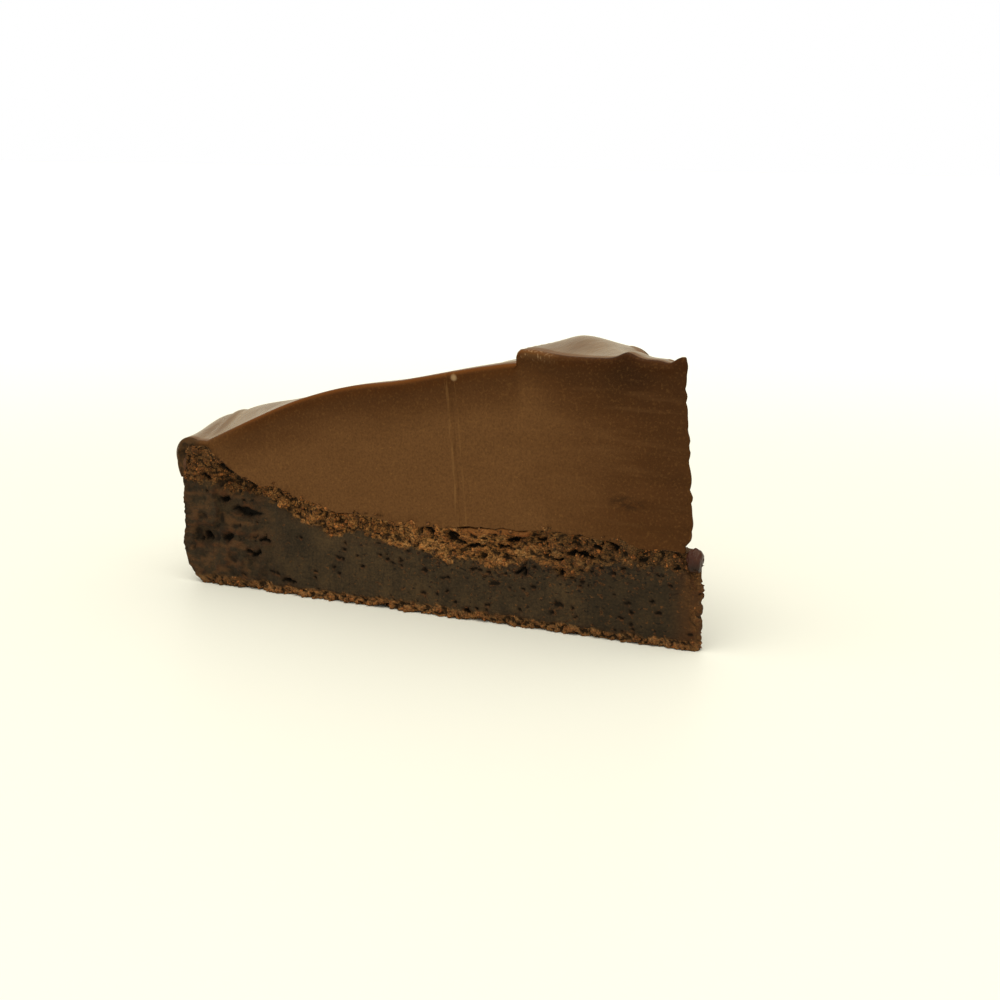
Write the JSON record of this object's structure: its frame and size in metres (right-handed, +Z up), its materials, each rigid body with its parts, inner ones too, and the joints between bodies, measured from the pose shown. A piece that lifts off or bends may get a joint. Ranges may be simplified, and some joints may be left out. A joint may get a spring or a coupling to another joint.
{
  "type": "chocolate cake slice",
  "caption": "Wedge slice of chocolate mousse cake: dense dark cake with a raised rim, filled with a smooth dome of chocolate mousse that laps over the rim; stands on its flat bottom.",
  "frame": {"origin": "centre of the slice's box in plan, at the height of its flat bottom", "axes": "+X along the slice from the rim to the tip, +Y across it, +Z up"},
  "size_m": [0.115, 0.0724, 0.0546],
  "materials": {
    "cake": "matte, dense moist crumb, dark brown, with a crumbly orange-brown layer under the mousse and along the bottom",
    "mousse": "smooth milk-chocolate brown, matte where it was cut, with a soft sheen on its spread top"
  },
  "bodies": {
    "root": {"cake_base": "cake", "mousse": "mousse"}
  },
  "joints": []
}
